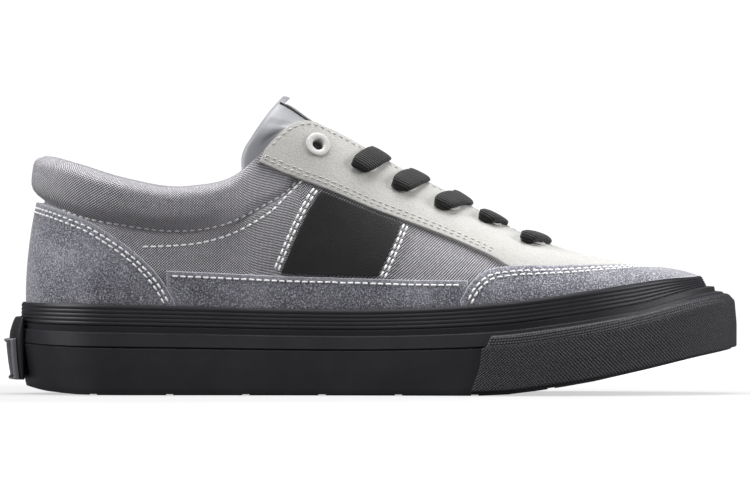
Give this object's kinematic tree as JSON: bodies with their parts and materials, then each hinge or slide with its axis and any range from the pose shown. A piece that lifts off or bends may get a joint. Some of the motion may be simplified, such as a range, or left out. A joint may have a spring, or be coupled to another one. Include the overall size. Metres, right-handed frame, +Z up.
{
  "type": "skateboarding shoe",
  "caption": "Low laced skateboarding shoe for the right foot: vulcanised black sole, hollow canvas and suede upper with a padded collar and tongue, standing empty.",
  "frame": {"origin": "on the floor under the heel, on the flat underside of the outsole, 46.5 mm ahead of the rearmost point of the foxing", "axes": "+X from heel to toe, +Y to the inner (medial) side of the right foot, +Z up; the pictured side faces -Y"},
  "size_m": [0.2992, 0.1091, 0.1222],
  "materials": {
    "black_rubber": "matt",
    "grey_canvas": "woven, matt",
    "slate_suede": "napped",
    "pale_suede": "napped",
    "black_leather": "smooth, semi-matt",
    "footbed_foam": "fabric over foam",
    "satin_tongue": "smooth satin",
    "white_label": "woven, matt",
    "black_lace": "woven, matt",
    "coated_ring": "satin"
  },
  "bodies": {
    "root": {"foxing": "black_rubber", "toe_bumper": "black_rubber", "heel_strip": "black_rubber", "heel_patch": "black_rubber", "outsole": "black_rubber", "insole": "footbed_foam", "upper": "grey_canvas", "heel_counter": "slate_suede", "mudguard": "slate_suede", "side_strip_lateral": "slate_suede", "side_strip_medial": "slate_suede", "saddle_lateral": "black_leather", "saddle_medial": "black_leather", "eyestay": "pale_suede", "tongue": "satin_tongue", "tongue_label": "white_label", "lace_1": "black_lace", "lace_2": "black_lace", "lace_3": "black_lace", "lace_4": "black_lace", "lace_5": "black_lace", "eyelet_lateral_1": "coated_ring", "eyelet_medial_1": "coated_ring", "eyelet_lateral_2": "coated_ring", "eyelet_medial_2": "coated_ring", "eyelet_lateral_3": "coated_ring", "eyelet_medial_3": "coated_ring", "eyelet_lateral_4": "coated_ring", "eyelet_medial_4": "coated_ring", "eyelet_lateral_5": "coated_ring", "eyelet_medial_5": "coated_ring", "eyelet_lateral_6": "coated_ring", "eyelet_medial_6": "coated_ring"}
  },
  "joints": []
}
